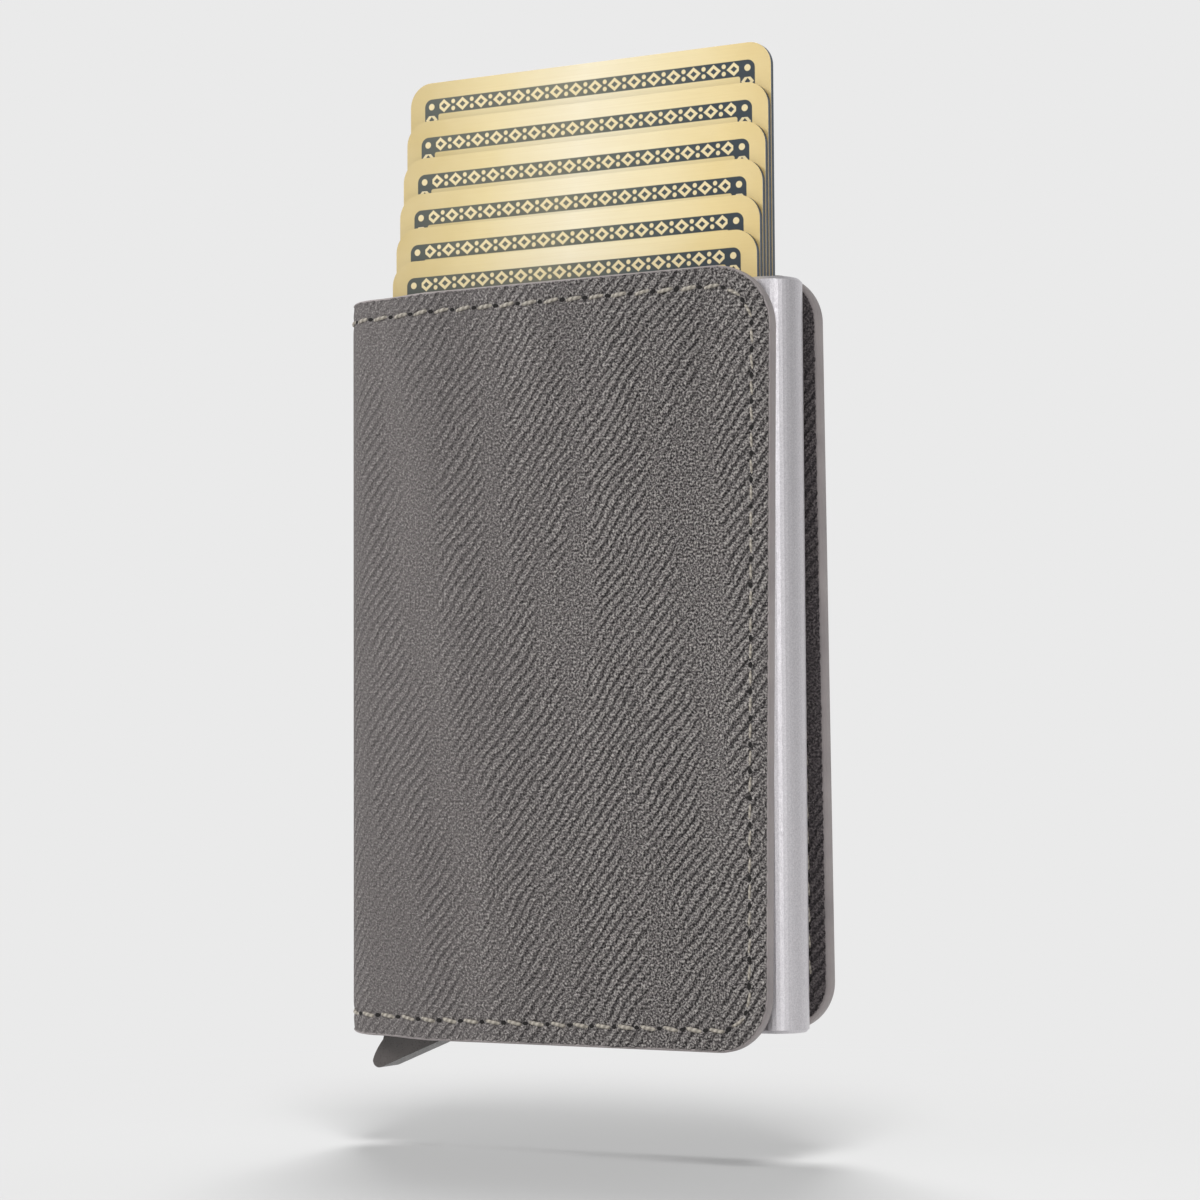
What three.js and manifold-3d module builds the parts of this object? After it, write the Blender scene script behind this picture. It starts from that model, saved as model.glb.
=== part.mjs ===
// Slim card wallet: an aluminium card case in a folded leather wrap, with six cards fanned out by
// a stepped ejector lever. Millimetres, +Z up. X runs along the wallet's width towards the free
// edges of its covers, and Y from the front cover to the back cover.

import * as THREE from 'three';
import { mergeVertices } from 'three/addons/utils/BufferGeometryUtils.js';
import Module from 'manifold-3d';

const wasm = await Module();
wasm.setup();

// Cards, to the common bank card size. They stand in the case at one pitch.
const card = {
  width: 53.98,
  height: 85.6,
  thickness: 0.76,
  corner: 3.18,
  pitch: 0.96,
  stackOffset: 0.15,
  firstLift: 8.45,
  firstStep: 4.65,
  stepGrowth: 0.2,
};
const cardCount = 6;

// Extruded aluminium case with half-round sides, sized to hold the cards
const tube = {
  wall: 0.75,
  sideGap: 0.71,
  stackPlay: 0.74,
  mouthInset: 2,
  edgeBreak: 0.4,
};

// Plastic cap that closes the case below and carries the lever
const cap = {
  floor: 1.5,
  fitGap: 0.05,
  slotPastToe: 3.8,
  slotSideGap: 0.25,
  cheekWall: 1.05,
  cheekGap: 0.12,
};

// Stepped ejector lever
const lever = {
  pivotInset: 2.8,
  pivotHeight: 2,
  stroke: THREE.MathUtils.degToRad(37),
  hubRadius: 1.35,
  hubHalfWidth: 1.6,
  pocketGap: 0.3,
  armTop: 4.2,
  armBottom: 0.3,
  restGap: 1.2,
  stepGap: 0.25,
  tipRound: 0.8,
  triggerHalfWidth: 2.3,
  tipBack: 0.6,
  tipDrop: 7.35,
  tipRadius: 0.95,
  backX: 0.03,
  backDrop: 4.56,
  shoulderBack: 1.25,
  shoulderDrop: 6.15,
  neckX: 0.5,
  neckDrop: 2.9,
  toeX: 9.6,
  toeDrop: 4.15,
  heelX: 8.2,
  heelRise: 4,
};

// Steel pin that the lever turns on
const pin = {
  radius: 0.6,
  leverClearance: 0.06,
  capClearance: 0.03,
  endGap: 0.1,
};

// Felt strips inside the mouth, which hold the cards by friction
const pad = {
  endInset: 3,
  height: 5,
  belowMouth: 1.5,
  frontThickness: 0.45,
  backThickness: 0.2,
};

// Double sided tape that holds the case to the back cover
const tape = {
  sideInset: 5.7,
  lowInset: 12,
  highInset: 11,
  thickness: 0.2,
};

// Leather wrap: outer skin and inner leather, sewn round the edge
const wrap = {
  skin: 1,
  lining: 0.85,
  glue: 0.05,
  foldCut: 0.3,
  foldRun: 9,
  below: 1.75,
  above: 1.2,
};

// Front cover, which stands away from the case at its lower free corner
const front = {
  past: -0.8,
  below: 2.1,
  above: 1.4,
  cornerBelow: 7,
  cornerAbove: 8.4,
  flare: 3.1,
  flareAfterFold: 5.7,
};

// Back cover, which bends away from the case a little at its lower free corner
const back = {
  past: 0.6,
  below: 0.3,
  above: 1.5,
  cornerBelow: 6.3,
  cornerAbove: 6.5,
  flare: 2,
  flareAfterFold: 31.7,
};

// Pockets sewn inside the front cover, of thin leather
const pocket = {
  sheet: 0.35,
  gap: 0.05,
  afterFoldRun: 1.2,
  edgeInset: 1.2,
  corner: 6,
  noteDrop: 12.4,
  slotDrop: 38.4,
  slotDip: 6,
};
const pocketCount = 2;

// Facet counts
const arcSteps = 10;
const endSteps = 24;
const cardSteps = 6;
const rowSteps = 10;
const flatColumns = 10;

// Curve of the covers' bend, how far cuts run past what they cut, and what counts as one point
const flarePower = 1.4;
const overrun = 1;
const weld = 1e-4;

// Colour, roughness and metalness of each finish
const finishes = {
  leather: [0x736e6b, 0.6, 0],
  lining: [0x3f3c3b, 0.65, 0],
  aluminium: [0xb9b5b6, 0.42, 1],
  plastic: [0x2c2b2b, 0.6, 0],
  lever: [0x4a4644, 0.45, 0],
  steel: [0x9a9a9c, 0.3, 1],
  felt: [0x232323, 0.95, 0],
  tape: [0xd8d6d0, 0.7, 0],
  card: [0xe2d2a4, 0.35, 0],
};

// Places that follow from the sizes above
const innerRadius = (cardCount * card.pitch + tube.stackPlay) / 2;
const tubeRadius = innerRadius + tube.wall;
const tubeEnd = card.width / 2 + tube.sideGap;
const tubeHalfWidth = tubeEnd + tubeRadius;
const retractedBottom = lever.pivotHeight + lever.armTop + lever.restGap;
const tubeHeight = retractedBottom + card.height + tube.mouthInset;
const foldX = -tubeEnd;
const wrapInner = tubeRadius + tape.thickness;
const skinInner = wrapInner + wrap.lining + wrap.glue;
const wrapOuter = skinInner + wrap.skin;
const pocketPitch = pocket.sheet + pocket.gap;
const cheekRadius = lever.hubRadius + cap.cheekWall;
const pocketRadius = cheekRadius + lever.pocketGap;
const pivot = { x: lever.pivotInset - tubeHalfWidth, z: lever.pivotHeight };

// Basic solids

function toSolid(geometry) {
  const bare = geometry.index ? geometry.clone() : geometry;
  bare.deleteAttribute('normal');
  bare.deleteAttribute('uv');
  const merged = mergeVertices(bare, weld);
  return new wasm.Manifold(new wasm.Mesh({
    numProp: 3,
    vertProperties: new Float32Array(merged.attributes.position.array),
    triVerts: new Uint32Array(merged.index.array),
  }));
}

function toGeometry(solid) {
  const mesh = solid.getMesh();
  const geometry = new THREE.BufferGeometry();
  geometry.setAttribute('position', new THREE.BufferAttribute(new Float32Array(mesh.vertProperties), 3));
  geometry.setIndex(new THREE.BufferAttribute(new Uint32Array(mesh.triVerts), 1));
  geometry.computeVertexNormals();
  return geometry;
}

// A shape made solid, one deep, and its points sent on by a rule of x, y and whether they are far
function extrude(shape, curveSegments, send) {
  const geometry = new THREE.ExtrudeGeometry(shape, { depth: 1, bevelEnabled: false, curveSegments });
  const points = geometry.attributes.position;
  for (let index = 0; index < points.count; index += 1) {
    points.setXYZ(index, ...send(points.getX(index), points.getY(index), points.getZ(index) > 0));
  }
  return geometry;
}

// A shape drawn in X and Z, made solid from yLow to yHigh
function slab(shape, yLow, yHigh, curveSegments = arcSteps) {
  return extrude(shape, curveSegments, (x, y, far) => [x, far ? yLow : yHigh, y]);
}

// A shape drawn in X and Y, made solid from zLow to zHigh
function column(shape, zLow, zHigh, curveSegments = arcSteps) {
  return extrude(shape, curveSegments, (x, y, far) => [x, y, far ? zHigh : zLow]);
}

function roundedRectangle(xLow, xHigh, zLow, zHigh, radius) {
  const shape = new THREE.Shape();
  shape.moveTo(xLow + radius, zLow);
  shape.lineTo(xHigh - radius, zLow);
  shape.absarc(xHigh - radius, zLow + radius, radius, -Math.PI / 2, 0);
  shape.lineTo(xHigh, zHigh - radius);
  shape.absarc(xHigh - radius, zHigh - radius, radius, 0, Math.PI / 2);
  shape.lineTo(xLow + radius, zHigh);
  shape.absarc(xLow + radius, zHigh - radius, radius, Math.PI / 2, Math.PI);
  shape.lineTo(xLow, zLow + radius);
  shape.absarc(xLow + radius, zLow + radius, radius, Math.PI, 1.5 * Math.PI);
  return shape;
}

function rectangle(xLow, xHigh, zLow, zHigh) {
  const shape = new THREE.Shape();
  shape.moveTo(xLow, zLow);
  shape.lineTo(xHigh, zLow);
  shape.lineTo(xHigh, zHigh);
  shape.lineTo(xLow, zHigh);
  return shape;
}

function disc(x, z, radius) {
  const shape = new THREE.Shape();
  shape.absarc(x, z, radius, 0, 2 * Math.PI);
  return shape;
}

// Outline in X and Y of the case's section, drawn in or out by an offset
function stadiumPoints(offset) {
  const radius = tubeRadius + offset;
  const points = [];
  for (const side of [1, -1]) {
    for (let step = 0; step <= endSteps; step += 1) {
      const angle = Math.PI * (step / endSteps - 0.5) + (side > 0 ? 0 : Math.PI);
      points.push(new THREE.Vector2(
        side * tubeEnd + radius * Math.cos(angle),
        radius * Math.sin(angle),
      ));
    }
  }
  return points;
}

// A closed skin through rings of points: the last ring joins the first
function ringShell(rings) {
  const count = rings[0].length;
  const positions = rings.flat().flatMap((point) => [point.x, point.y, point.z]);
  const index = [];
  rings.forEach((ring, row) => {
    const next = (row + 1) % rings.length;
    for (let step = 0; step < count; step += 1) {
      const after = (step + 1) % count;
      const a = row * count + step;
      const b = row * count + after;
      const c = next * count + after;
      const d = next * count + step;
      index.push(a, b, c, a, c, d);
    }
  });
  const geometry = new THREE.BufferGeometry();
  geometry.setAttribute('position', new THREE.Float32BufferAttribute(positions, 3));
  geometry.setIndex(index);
  geometry.computeVertexNormals();
  return geometry;
}

// A sheet on a grid, between two surfaces y(x, z). Each column runs between the outline's low and
// high edge there.
function sheet(columns, low, high, yInner, yOuter) {
  const rows = rowSteps + 1;
  const positions = [];
  for (const surface of [yInner, yOuter]) {
    for (const x of columns) {
      for (let row = 0; row < rows; row += 1) {
        const z = THREE.MathUtils.lerp(low(x), high(x), row / rowSteps);
        positions.push(x, surface(x, z), z);
      }
    }
  }
  const faceSize = columns.length * rows;
  const at = (face, columnStep, row) => face * faceSize + columnStep * rows + row;
  const index = [];
  const quad = (a, b, c, d) => index.push(a, c, b, a, d, c);
  const last = columns.length - 1;
  for (let step = 0; step < last; step += 1) {
    for (let row = 0; row < rowSteps; row += 1) {
      quad(at(0, step, row), at(0, step, row + 1), at(0, step + 1, row + 1), at(0, step + 1, row));
      quad(at(1, step, row), at(1, step + 1, row), at(1, step + 1, row + 1), at(1, step, row + 1));
    }
    quad(at(0, step, 0), at(0, step + 1, 0), at(1, step + 1, 0), at(1, step, 0));
    quad(at(0, step, rowSteps), at(1, step, rowSteps), at(1, step + 1, rowSteps),
      at(0, step + 1, rowSteps));
  }
  for (let row = 0; row < rowSteps; row += 1) {
    quad(at(0, 0, row), at(1, 0, row), at(1, 0, row + 1), at(0, 0, row + 1));
    quad(at(0, last, row), at(0, last, row + 1), at(1, last, row + 1), at(1, last, row));
  }
  const geometry = new THREE.BufferGeometry();
  geometry.setAttribute('position', new THREE.Float32BufferAttribute(positions, 3));
  geometry.setIndex(index);
  geometry.computeVertexNormals();
  return geometry;
}

// Shape of the covers

const coverEdge = (cover) => tubeHalfWidth + cover.past;
const coverLow = (cover) => -cover.below;
const coverHigh = (cover) => tubeHeight + cover.above;

// How far a cover stands out from the case, growing towards its lower free corner
function flareOf(cover, x, z) {
  const start = foldX + cover.flareAfterFold;
  const across = THREE.MathUtils.clamp((x - start) / (coverEdge(cover) - start), 0, 1);
  const down = (coverHigh(cover) - z) / (coverHigh(cover) - coverLow(cover));
  return cover.flare * across ** flarePower * down;
}

// The share of the way from the fold's height and depth to the cover's own
const pastFold = (x) => THREE.MathUtils.smoothstep(x, foldX, foldX + wrap.foldRun);

// The front cover also stands out over its pockets
const frontOffset = (x, z) => pocketCount * pocketPitch * pastFold(x) + flareOf(front, x, z);
const backOffset = (x, z) => flareOf(back, x, z);

// Columns of a cover from the fold to the free edge, closer together round the corners
function coverColumns(left, right, corner) {
  const columns = [];
  const cornerStart = right - corner;
  for (let step = 0; step < flatColumns; step += 1) {
    columns.push(THREE.MathUtils.lerp(left, cornerStart, step / flatColumns));
  }
  for (let step = 0; step <= arcSteps; step += 1) {
    columns.push(cornerStart + corner * Math.sin(Math.PI / 2 * step / arcSteps));
  }
  return columns;
}

// How much the outline draws in at x because of the rounded corners on the free edge
function cornerCut(x, right, corner) {
  const into = Math.max(0, x - (right - corner));
  return corner - Math.sqrt(Math.max(0, corner ** 2 - into ** 2));
}

function coverSheet(cover, side, inner, thickness, offset) {
  const cutBelow = (x) => cornerCut(x, coverEdge(cover), cover.cornerBelow);
  const cutAbove = (x) => cornerCut(x, coverEdge(cover), cover.cornerAbove);
  const near = side > 0 ? inner : inner + thickness;
  const far = side > 0 ? inner + thickness : inner;
  return sheet(
    coverColumns(foldX + wrap.foldCut / 2, coverEdge(cover), cover.cornerAbove),
    (x) => THREE.MathUtils.lerp(-wrap.below, coverLow(cover), pastFold(x)) + cutBelow(x),
    (x) => THREE.MathUtils.lerp(tubeHeight + wrap.above, coverHigh(cover), pastFold(x)) - cutAbove(x),
    (x, z) => side * (near + offset(x, z)),
    (x, z) => side * (far + offset(x, z)),
  );
}

// Half-round strip of the spine between two radii
function spineStrip(inner, outer) {
  const shape = new THREE.Shape();
  const start = Math.PI / 2 + Math.asin(wrap.foldCut / 2 / inner);
  const finish = 2 * Math.PI - start;
  shape.absarc(foldX, 0, outer, start, finish);
  shape.absarc(foldX, 0, inner, finish, start, true);
  return column(shape, -wrap.below, tubeHeight + wrap.above, endSteps);
}

// A pocket of thin leather on the inside of the front cover, open at the top
function pocketSheet(layer, drop, dip) {
  const left = foldX + wrap.foldRun + pocket.afterFoldRun;
  const right = coverEdge(front) - pocket.edgeInset;
  const near = wrapInner + layer * pocketPitch;
  return sheet(
    coverColumns(left, right, pocket.corner),
    (x) => coverLow(front) + pocket.edgeInset + cornerCut(x, right, pocket.corner),
    (x) => coverHigh(front) - drop - dip * THREE.MathUtils.smoothstep(x, left, right),
    (x, z) => -(near + pocket.sheet + flareOf(front, x, z)),
    (x, z) => -(near + flareOf(front, x, z)),
  );
}

// Case

function caseTube() {
  const ring = (offset, z) => stadiumPoints(offset).map((p) => new THREE.Vector3(p.x, p.y, z));
  return ringShell([
    ring(-tube.edgeBreak, 0),
    ring(0, tube.edgeBreak),
    ring(0, tubeHeight - tube.edgeBreak),
    ring(-tube.edgeBreak, tubeHeight),
    ring(-tube.wall, tubeHeight),
    ring(-tube.wall, 0),
  ]);
}

function bottomCap() {
  const outline = new THREE.Shape(stadiumPoints(-tube.wall - cap.fitGap));
  const floor = toSolid(column(outline, 0, cap.floor));
  const slotHalf = lever.triggerHalfWidth + cap.slotSideGap;
  const slot = toSolid(slab(
    rectangle(-tubeHalfWidth, pivot.x + lever.toeX + cap.slotPastToe, -overrun, cap.floor + overrun),
    -slotHalf,
    slotHalf,
  ));
  const cheek = new THREE.Shape();
  const footAngle = Math.asin(Math.min(1, pivot.z / cheekRadius));
  cheek.absarc(pivot.x, pivot.z, cheekRadius, -footAngle, Math.PI + footAngle);
  const cheekHeight = pivot.z + cheekRadius;
  const cheeks = toSolid(slab(cheek, -innerRadius, innerRadius))
    .intersect(toSolid(column(outline, 0, cheekHeight)));
  const hubWay = toSolid(slab(
    rectangle(-tubeHalfWidth, pivot.x + pocketRadius, -overrun, cheekHeight + overrun),
    -lever.hubHalfWidth - cap.cheekGap,
    lever.hubHalfWidth + cap.cheekGap,
  ));
  const bore = toSolid(slab(
    disc(pivot.x, pivot.z, pin.radius + pin.capClearance),
    -tubeRadius,
    tubeRadius,
  ));
  return toGeometry(floor.subtract(slot).add(cheeks).subtract(hubWay).subtract(bore));
}

function pivotPin() {
  const span = Math.sqrt(innerRadius ** 2 - (pivot.x + tubeEnd) ** 2) - pin.endGap - pin.radius / 2;
  return slab(disc(pivot.x, pivot.z, pin.radius), -span, span);
}

function frictionPad(yLow, yHigh) {
  const top = tubeHeight - pad.belowMouth;
  const end = card.width / 2 - pad.endInset;
  return slab(rectangle(-end, end, top - pad.height, top), yLow, yHigh);
}

function tapePatch() {
  const end = tubeEnd - tape.sideInset;
  return slab(rectangle(-end, end, tape.lowInset, tubeHeight - tape.highInset), tubeRadius, wrapInner);
}

// Cards

const layerFace = (step) => card.stackOffset + (step - cardCount / 2) * card.pitch;
const cardY = (step) => (layerFace(step) + layerFace(step + 1)) / 2;
const cardLift = (step) => card.firstLift + step * card.firstStep
  + card.stepGrowth * step * (step - 1) / 2;
const cardBottom = (step) => retractedBottom + cardLift(step);

function cardBody(step) {
  const outline = roundedRectangle(
    -card.width / 2,
    card.width / 2,
    cardBottom(step),
    cardBottom(step) + card.height,
    card.corner,
  );
  return slab(outline, cardY(step) - card.thickness / 2, cardY(step) + card.thickness / 2, cardSteps);
}

// Ejector lever

// Reach of the arm under one card, so that its tip lifts the card and stays clear below it
function armReach(step) {
  const half = lever.stroke / 2;
  const midHeight = retractedBottom - pivot.z + cardLift(step) / 2;
  return (midHeight - lever.stepGap - lever.armTop * Math.cos(half)) / Math.sin(half);
}

// One layer of the arm, drawn level with its hub at the origin, then turned up to the raised place
function armLayer(step) {
  const reach = armReach(step);
  const shape = new THREE.Shape();
  shape.moveTo(0, -lever.armBottom);
  shape.lineTo(reach - lever.tipRound, -lever.armBottom);
  shape.absarc(reach - lever.tipRound, lever.tipRound - lever.armBottom, lever.tipRound,
    -Math.PI / 2, 0);
  shape.absarc(reach - lever.tipRound, lever.armTop - lever.tipRound, lever.tipRound, 0, Math.PI / 2);
  shape.lineTo(lever.armTop, lever.armTop);
  shape.lineTo(0, lever.hubRadius);
  const layer = slab(shape, layerFace(step), layerFace(step + 1));
  layer.rotateY(-lever.stroke);
  layer.translate(pivot.x, 0, pivot.z);
  return toSolid(layer);
}

function triggerOutline() {
  const tip = { x: pivot.x - lever.tipBack, z: pivot.z - lever.tipDrop };
  const toe = { x: pivot.x + lever.toeX, z: pivot.z - lever.toeDrop };
  const rise = Math.atan2(toe.z - tip.z + lever.tipRadius, toe.x - tip.x);
  const shape = new THREE.Shape();
  shape.moveTo(pivot.x - lever.hubRadius * Math.cos(lever.stroke),
    pivot.z - lever.hubRadius * Math.sin(lever.stroke));
  shape.lineTo(pivot.x + lever.neckX, pivot.z - lever.neckDrop);
  shape.lineTo(pivot.x + lever.backX, pivot.z - lever.backDrop);
  shape.quadraticCurveTo(pivot.x - lever.shoulderBack, pivot.z - lever.shoulderDrop,
    tip.x - lever.tipRadius, tip.z);
  shape.absarc(tip.x, tip.z, lever.tipRadius, Math.PI, 1.5 * Math.PI + rise);
  shape.lineTo(toe.x, toe.z);
  shape.quadraticCurveTo(toe.x + lever.tipRound, toe.z + lever.tipRound,
    pivot.x + lever.heelX, pivot.z + lever.heelRise);
  shape.lineTo(pivot.x + lever.heelX * Math.cos(lever.stroke),
    pivot.z + lever.heelX * Math.sin(lever.stroke) + lever.hubRadius);
  shape.lineTo(pivot.x, pivot.z);
  return shape;
}

function ejectorLever() {
  let solid = toSolid(slab(triggerOutline(), -lever.triggerHalfWidth, lever.triggerHalfWidth));
  for (let step = 0; step < cardCount; step += 1) {
    solid = solid.add(armLayer(step));
  }
  const hub = toSolid(slab(disc(pivot.x, pivot.z, lever.hubRadius), -lever.hubHalfWidth,
    lever.hubHalfWidth, endSteps));
  for (const side of [-1, 1]) {
    const edges = [side * lever.hubHalfWidth, side * tubeRadius].sort((a, b) => a - b);
    solid = solid.subtract(toSolid(slab(disc(pivot.x, pivot.z, pocketRadius), ...edges, endSteps)));
  }
  const bore = toSolid(slab(disc(pivot.x, pivot.z, pin.radius + pin.leverClearance), -tubeRadius,
    tubeRadius));
  return toGeometry(solid.add(hub).subtract(bore));
}

// Assembly

const wallet = new THREE.Group();

function place(name, geometry, finish) {
  const [color, roughness, metalness] = finish;
  const mesh = new THREE.Mesh(geometry, new THREE.MeshStandardMaterial({ color, roughness, metalness }));
  mesh.name = name;
  wallet.add(mesh);
}

place('case_tube', caseTube(), finishes.aluminium);
place('bottom_cap', bottomCap(), finishes.plastic);
place('lever_pivot_pin', pivotPin(), finishes.steel);
place('friction_pad_front', frictionPad(-innerRadius, pad.frontThickness - innerRadius), finishes.felt);
place('friction_pad_back', frictionPad(innerRadius - pad.backThickness, innerRadius), finishes.felt);
place('case_tape', tapePatch(), finishes.tape);

place('back_outer_skin', coverSheet(back, 1, skinInner, wrap.skin, backOffset), finishes.leather);
place('back_inner_leather', coverSheet(back, 1, wrapInner, wrap.lining, backOffset), finishes.lining);
place('spine_outer_skin', spineStrip(skinInner, wrapOuter), finishes.leather);
place('spine_inner_leather', spineStrip(wrapInner, skinInner - wrap.glue), finishes.lining);
place('front_outer_skin', coverSheet(front, -1, skinInner, wrap.skin, frontOffset), finishes.leather);
place('front_inner_leather', coverSheet(front, -1, wrapInner, wrap.lining, frontOffset), finishes.lining);
place('card_slot_panel', pocketSheet(0, pocket.slotDrop, pocket.slotDip), finishes.lining);
place('note_pocket_panel', pocketSheet(1, pocket.noteDrop, 0), finishes.lining);

place('ejector_lever', ejectorLever(), finishes.lever);
for (let step = 0; step < cardCount; step += 1) {
  place(`card_${step + 1}`, cardBody(step), finishes.card);
}

// The origin is at the middle of the wallet's outline, level with its lowest point
const bounds = new THREE.Box3().setFromObject(wallet);
const centre = bounds.getCenter(new THREE.Vector3());
wallet.position.set(-centre.x, -centre.y, -bounds.min.z);

export default wallet;
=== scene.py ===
import math
import random

import bmesh
import bpy
from mathutils import Matrix, Vector


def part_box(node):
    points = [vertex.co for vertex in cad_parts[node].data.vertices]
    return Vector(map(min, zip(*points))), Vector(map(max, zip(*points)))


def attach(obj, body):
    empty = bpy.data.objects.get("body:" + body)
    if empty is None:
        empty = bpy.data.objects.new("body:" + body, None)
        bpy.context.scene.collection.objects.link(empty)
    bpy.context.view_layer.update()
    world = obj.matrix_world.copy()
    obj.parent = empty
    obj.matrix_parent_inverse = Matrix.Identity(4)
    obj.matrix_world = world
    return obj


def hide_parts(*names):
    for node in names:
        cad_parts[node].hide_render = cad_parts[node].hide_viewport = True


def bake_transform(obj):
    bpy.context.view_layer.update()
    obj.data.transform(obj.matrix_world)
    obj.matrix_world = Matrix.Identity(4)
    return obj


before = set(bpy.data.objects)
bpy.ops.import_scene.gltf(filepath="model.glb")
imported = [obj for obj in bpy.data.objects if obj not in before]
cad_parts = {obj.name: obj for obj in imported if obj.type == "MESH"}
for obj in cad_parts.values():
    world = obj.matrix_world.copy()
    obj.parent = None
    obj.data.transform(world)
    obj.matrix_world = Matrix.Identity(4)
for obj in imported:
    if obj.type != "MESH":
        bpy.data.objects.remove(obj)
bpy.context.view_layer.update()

# The case, its cap, pin and tape, the lever and the cards keep their CAD shapes and get materials.
# The leather wrap, its pockets, the felt strips and the seams are built here.
#
# Lengths are millimetres in the case's own frame: X from the middle of the case to the covers'
# free edges, Y from the front cover to the back cover, Z up from its lower end. Only the stage,
# the lamps and the relief depths of materials are in metres.
MM = 0.001
case_low, case_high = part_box("case_tube")
CASE_ORIGIN = Vector(((case_low.x + case_high.x) / 2, (case_low.y + case_high.y) / 2, case_low.z))


def row(x, y, z):
    """A point of the case's own frame in the row's frame, in metres."""
    return CASE_ORIGIN + Vector((x, y, z)) * MM


# ---------------------------------------------------------------- the wrap's own shape
CASE_HIGH = 95.0
FOLD_X = -27.7  # where both covers turn into the spine, and the middle of its round
FOLD_RUN = 9.0  # how far past the fold a cover takes to reach its own height and place
WRAP_INNER = 4.2
WRAP_OUTER = 6.1
WRAP_THICK = WRAP_OUTER - WRAP_INNER
SPINE_ARC = math.pi * WRAP_OUTER
SPINE_MIDDLE = -SPINE_ARC / 2
SPINE_LOW = -1.75
SPINE_HIGH = CASE_HIGH + 1.2
SPINE_DISH = 0.35
SEAM_RUN = 2.0  # how far past the fold the spine's piece ends and a cover's piece starts
EDGE_ROUND = 0.42
FLARE_POWER = 1.4

# A cover bends away from the case from "flare_from" on, by "flare" at its lower free corner.
# "room" is what its pockets take between it and the case.
FRONT = {"side": -1, "edge": 30.9, "low": -2.1, "high": CASE_HIGH + 1.4,
         "corner_below": 7.0, "corner_above": 8.4,
         "flare": 3.1, "flare_from": -22.0, "room": 0.8}
BACK = {"side": 1, "edge": 32.3, "low": -0.3, "high": CASE_HIGH + 1.5,
        "corner_below": 6.3, "corner_above": 6.5,
        "flare": 2.0, "flare_from": 4.0, "room": 0.0}


def smooth(t):
    t = min(max(t, 0.0), 1.0)
    return t * t * (3 - 2 * t)


def mix(a, b, t):
    return a + (b - a) * t


def flare_of(cover, x, z):
    across = (x - cover["flare_from"]) / (cover["edge"] - cover["flare_from"])
    down = (cover["high"] - z) / (cover["high"] - cover["low"])
    return cover["flare"] * min(max(across, 0.0), 1.0) ** FLARE_POWER * max(down, 0.0)


def past_fold(x):
    return smooth((x - FOLD_X) / FOLD_RUN)


def cover_point(cover, x, z, depth):
    offset = cover["room"] * past_fold(x) + flare_of(cover, x, z)
    return row(x, cover["side"] * (WRAP_OUTER - depth + offset), z)


def cover_limits(cover, x):
    share = past_fold(x)
    return mix(SPINE_LOW, cover["low"], share), mix(SPINE_HIGH, cover["high"], share)


# The wrap is laid out flat as (u, z). u runs along the outside: 0 at the front fold, rising over
# the front cover, and from 0 down to -SPINE_ARC round the spine, then on over the back cover.
def u_at(cover, x):
    return x - FOLD_X if cover is FRONT else FOLD_X - x - SPINE_ARC


def x_at(cover, u):
    return FOLD_X + u if cover is FRONT else FOLD_X - u - SPINE_ARC


def wrap_point(u, z, depth):
    """The point at `depth` below the wrap's outer surface, in the row's frame."""
    if u >= 0:
        return cover_point(FRONT, x_at(FRONT, u), z, depth)
    if u <= -SPINE_ARC:
        return cover_point(BACK, x_at(BACK, u), z, depth)
    angle = -u / WRAP_OUTER
    radius = WRAP_OUTER - depth
    return row(FOLD_X - radius * math.sin(angle), -radius * math.cos(angle), z)


def wrap_limits(u):
    if u >= 0:
        return cover_limits(FRONT, x_at(FRONT, u))
    if u <= -SPINE_ARC:
        return cover_limits(BACK, x_at(BACK, u))
    # The lower edge is dished round the spine, so that the lever's trigger swings clear of it.
    return SPINE_LOW + SPINE_DISH * math.sin(math.pi * u / SPINE_ARC) ** 2, SPINE_HIGH


# ---------------------------------------------------------------- materials
TURN = 2 * math.pi


def linear(r, g, b):
    """A colour given from 0 to 255 in sRGB."""
    def one(v):
        v /= 255
        return v / 12.92 if v <= 0.04045 else ((v + 0.055) / 1.055) ** 2.4
    return (one(r), one(g), one(b), 1.0)


def grey(level):
    return (level, level, level, 1.0)


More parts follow.
